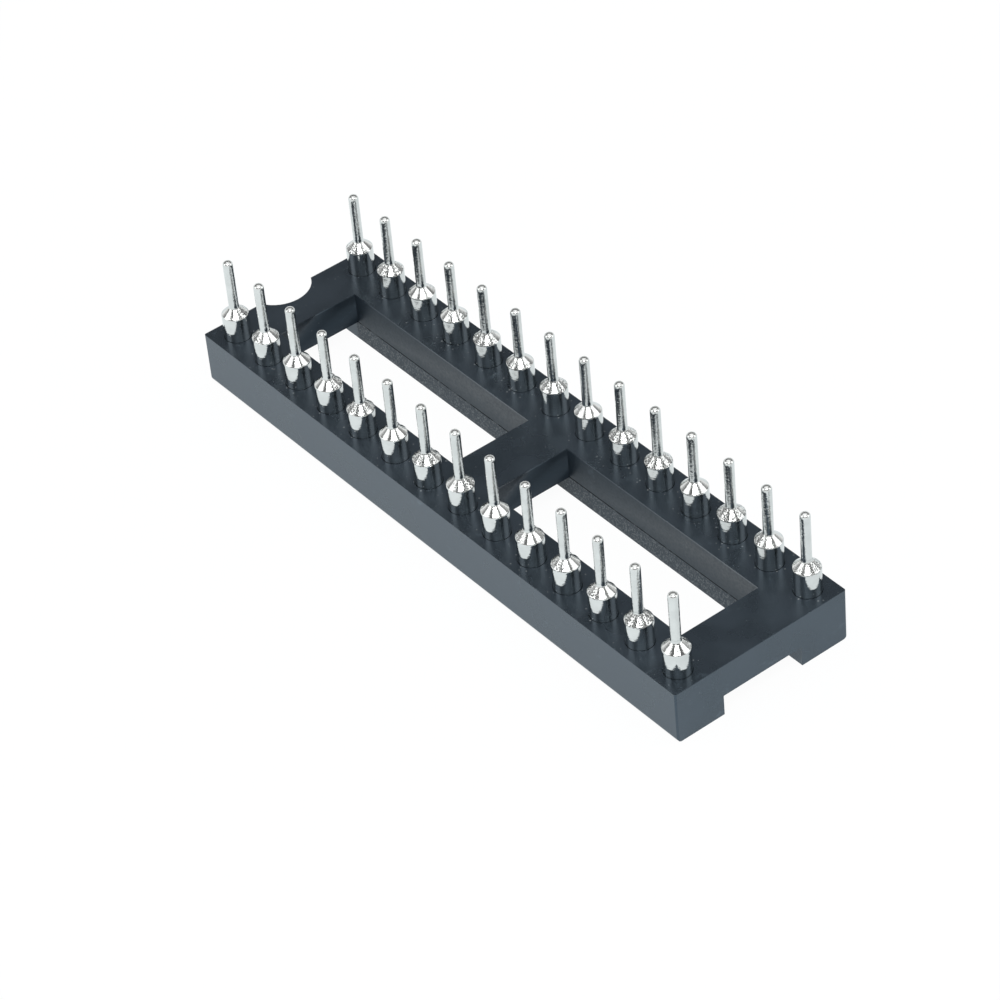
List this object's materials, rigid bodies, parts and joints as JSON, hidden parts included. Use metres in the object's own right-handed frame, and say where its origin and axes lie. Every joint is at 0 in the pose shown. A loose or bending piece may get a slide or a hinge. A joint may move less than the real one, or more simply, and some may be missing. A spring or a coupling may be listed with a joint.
{
  "type": "ic socket",
  "caption": "Open-frame dual-in-line circuit socket with turned round contacts, solder tails on one side and spring-lined lead holes on the other.",
  "frame": {"origin": "under the middle of the body, in the plane of the circuit-side face that it lies on", "axes": "+X along the two rows, away from the notched end; +Y across them, to the row that starts with the contact counted first; +Z out of the tail side, so the part lies with its tails up as in the picture"},
  "size_m": [0.0354, 0.01, 0.0073],
  "materials": {
    "insulator": "black glass-filled thermoplastic, semi-gloss from the mould",
    "plated_sleeve": "turned brass with a bright tin plate",
    "spring_clip": "copper-alloy spring strip with a thin gold plate"
  },
  "bodies": {
    "root": {"insulator": "insulator", "contact_sleeve_01": "plated_sleeve", "contact_sleeve_02": "plated_sleeve", "contact_sleeve_03": "plated_sleeve", "contact_sleeve_04": "plated_sleeve", "contact_sleeve_05": "plated_sleeve", "contact_sleeve_06": "plated_sleeve", "contact_sleeve_07": "plated_sleeve", "contact_sleeve_08": "plated_sleeve", "contact_sleeve_09": "plated_sleeve", "contact_sleeve_10": "plated_sleeve", "contact_sleeve_11": "plated_sleeve", "contact_sleeve_12": "plated_sleeve", "contact_sleeve_13": "plated_sleeve", "contact_sleeve_14": "plated_sleeve", "contact_sleeve_15": "plated_sleeve", "contact_sleeve_16": "plated_sleeve", "contact_sleeve_17": "plated_sleeve", "contact_sleeve_18": "plated_sleeve", "contact_sleeve_19": "plated_sleeve", "contact_sleeve_20": "plated_sleeve", "contact_sleeve_21": "plated_sleeve", "contact_sleeve_22": "plated_sleeve", "contact_sleeve_23": "plated_sleeve", "contact_sleeve_24": "plated_sleeve", "contact_sleeve_25": "plated_sleeve", "contact_sleeve_26": "plated_sleeve", "contact_sleeve_27": "plated_sleeve", "contact_sleeve_28": "plated_sleeve", "contact_clip_01": "spring_clip", "contact_clip_02": "spring_clip", "contact_clip_03": "spring_clip", "contact_clip_04": "spring_clip", "contact_clip_05": "spring_clip", "contact_clip_06": "spring_clip", "contact_clip_07": "spring_clip", "contact_clip_08": "spring_clip", "contact_clip_09": "spring_clip", "contact_clip_10": "spring_clip", "contact_clip_11": "spring_clip", "contact_clip_12": "spring_clip", "contact_clip_13": "spring_clip", "contact_clip_14": "spring_clip", "contact_clip_15": "spring_clip", "contact_clip_16": "spring_clip", "contact_clip_17": "spring_clip", "contact_clip_18": "spring_clip", "contact_clip_19": "spring_clip", "contact_clip_20": "spring_clip", "contact_clip_21": "spring_clip", "contact_clip_22": "spring_clip", "contact_clip_23": "spring_clip", "contact_clip_24": "spring_clip", "contact_clip_25": "spring_clip", "contact_clip_26": "spring_clip", "contact_clip_27": "spring_clip", "contact_clip_28": "spring_clip"}
  },
  "joints": []
}
